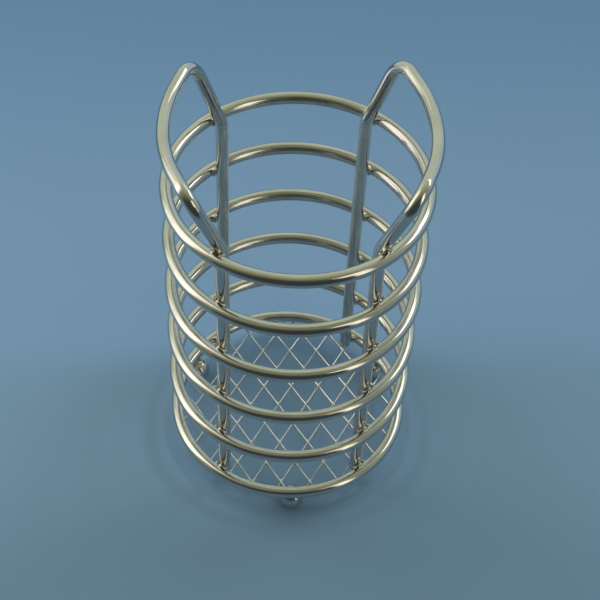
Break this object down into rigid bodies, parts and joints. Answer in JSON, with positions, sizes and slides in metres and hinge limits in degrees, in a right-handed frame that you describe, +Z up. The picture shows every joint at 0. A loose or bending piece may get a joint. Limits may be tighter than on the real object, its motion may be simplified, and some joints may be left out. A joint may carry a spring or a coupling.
{
  "type": "cutlery holder",
  "caption": "Open round cutlery holder of welded chrome wire: stacked rings on bent wire frames with flared grips, an expanded-metal floor and ball feet.",
  "frame": {"origin": "on the table, at the axis of the rings", "axes": "+Z up; the grips are at -X and +X; the single front foot is at -Y"},
  "size_m": [0.1, 0.1, 0.1699],
  "materials": {
    "ring_chrome": "bright chrome plate on drawn steel wire",
    "frame_chrome": "bright chrome plate on bent steel wire",
    "mesh_chrome": "chrome plate on expanded steel, less polished than the wire",
    "foot_chrome": "bright chrome plate on a steel ball"
  },
  "bodies": {
    "root": {"top_ring": "ring_chrome", "second_ring": "ring_chrome", "third_ring": "ring_chrome", "fourth_ring": "ring_chrome", "fifth_ring": "ring_chrome", "base_ring": "ring_chrome", "left_handle_frame": "frame_chrome", "right_handle_frame": "frame_chrome", "base_mesh": "mesh_chrome", "front_foot": "foot_chrome", "rear_left_foot": "foot_chrome", "rear_right_foot": "foot_chrome"}
  },
  "joints": []
}
